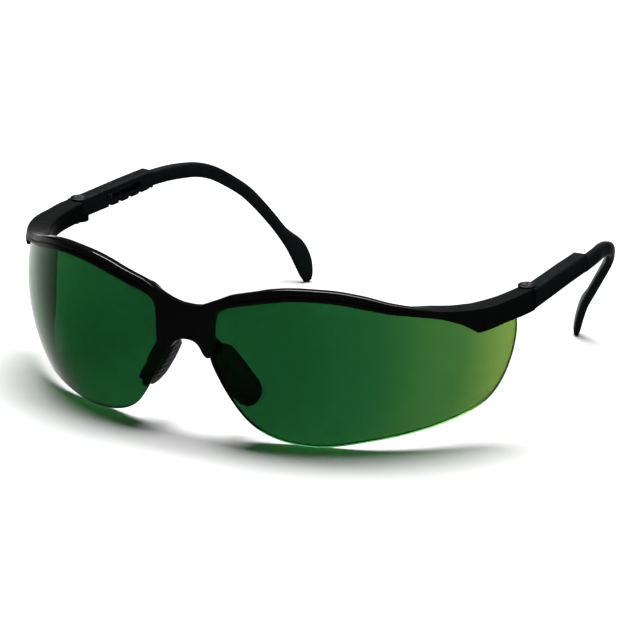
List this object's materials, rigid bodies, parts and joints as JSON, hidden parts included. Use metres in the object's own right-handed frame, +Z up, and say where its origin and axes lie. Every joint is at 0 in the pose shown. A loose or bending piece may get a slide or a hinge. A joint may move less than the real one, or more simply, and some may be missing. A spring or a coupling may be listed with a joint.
{
  "type": "wraparound welding spectacles",
  "caption": "Half-frame wraparound welding spectacles with two curved green filter lenses, soft ribbed nose pads, and folding temples that telescope to fit.",
  "frame": {"origin": "on the table, under the centre of the bounding box, temples open and at their shortest", "axes": "+X to the wearer's left, +Y from the lenses towards the temple tips, +Z up from the table"},
  "size_m": [0.1476, 0.13, 0.0451],
  "materials": {
    "frame_plastic": "high gloss black nylon, faintly scuffed",
    "temple_plastic": "satin black nylon with a slight slate tint",
    "bracket_plastic": "satin black nylon",
    "stud_plastic": "polished black acetal",
    "lens": "clear gloss polycarbonate tinted deep green",
    "pad_rubber": "soft matte black thermoplastic rubber",
    "screw_steel": "dark nickelled steel",
    "insert_brass": "turned brass"
  },
  "bodies": {
    "front": {"brow_frame": "frame_plastic", "left_lens": "lens", "right_lens": "lens", "nose_bracket": "bracket_plastic", "left_nose_pad": "pad_rubber", "right_nose_pad": "pad_rubber", "left_hinge_screw": "screw_steel", "right_hinge_screw": "screw_steel", "left_hinge_insert": "insert_brass", "right_hinge_insert": "insert_brass"},
    "left_temple": {"left_temple_sleeve": "temple_plastic"},
    "right_temple": {"right_temple_sleeve": "temple_plastic"},
    "left_arm": {"left_temple_arm": "temple_plastic", "left_slide_stud": "stud_plastic"},
    "right_arm": {"right_temple_arm": "temple_plastic", "right_slide_stud": "stud_plastic"}
  },
  "joints": [
    {"name": "left_fold", "type": "hinge", "parent": "front", "child": "left_temple", "pos_m": [0.07, -0.00681, 0.036], "axis": [0, 0, 1], "range_deg": [0, 90]},
    {"name": "right_fold", "type": "hinge", "parent": "front", "child": "right_temple", "pos_m": [-0.07, -0.00681, 0.036], "axis": [0, 0, -1], "range_deg": [0, 80]},
    {"name": "left_slide", "type": "slide", "parent": "left_temple", "child": "left_arm", "axis": [-0.1028, 0.9947, 0], "range_m": [0, 0.0126]},
    {"name": "right_slide", "type": "slide", "parent": "right_temple", "child": "right_arm", "axis": [0.1028, 0.9947, 0], "range_m": [0, 0.0126]}
  ]
}
